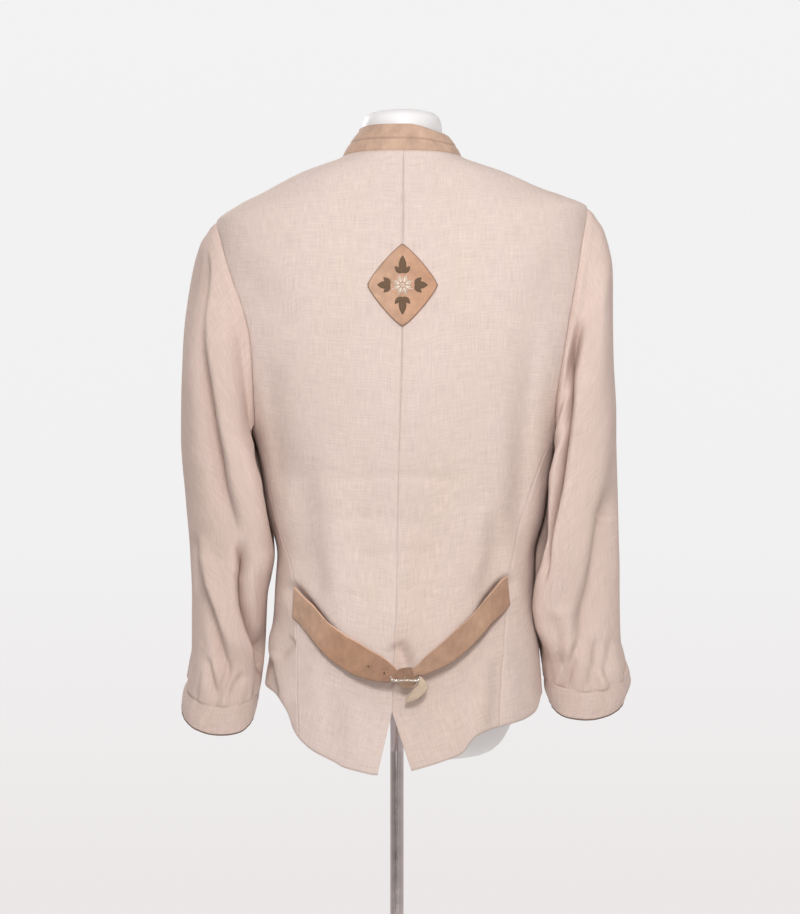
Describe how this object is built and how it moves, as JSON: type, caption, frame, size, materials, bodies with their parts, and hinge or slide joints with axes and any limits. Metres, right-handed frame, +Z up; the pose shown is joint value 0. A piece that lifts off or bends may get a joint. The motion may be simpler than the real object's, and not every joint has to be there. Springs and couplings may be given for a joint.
{
  "type": "trachten jacket on a dress form with stand",
  "caption": "Pale linen trachten jacket with suede stand collar, diamond back patch and slack buckled half belt, on a white limbless dress form with pole and round base.",
  "frame": {"origin": "centre of the underside of the stand's round base, on the floor and on the pole's axis", "axes": "+Z up along the pole; the jacket's back faces +Y and its buttoned front -Y, so +X is the wearer's left"},
  "size_m": [0.5373, 0.35, 1.419],
  "materials": {
    "linen": "matt, slubby plain weave",
    "tan_suede": "napped suede",
    "buff_suede": "pale cut side of the suede strap",
    "old_silver": "old silver",
    "horn": "polished horn",
    "form_white": "smooth white shell",
    "chrome": "polished"
  },
  "bodies": {
    "root": {"back_left": "linen", "back_right": "linen", "side_left": "linen", "side_right": "linen", "front_left": "linen", "front_right": "linen", "sleeve_left": "linen", "sleeve_right": "linen", "cuff_left": "linen", "cuff_right": "linen", "collar": "tan_suede", "belt_left": "tan_suede", "belt_right": "tan_suede", "belt_tail": "buff_suede", "back_patch": "tan_suede", "buckle": "old_silver", "buckle_bar": "old_silver", "button_1": "horn", "button_2": "horn", "button_3": "horn", "button_4": "horn", "button_5": "horn", "button_6": "horn", "form_body": "form_white", "stand_socket": "chrome", "stand_pole": "chrome", "stand_boss": "chrome", "stand_base": "chrome"}
  },
  "joints": []
}
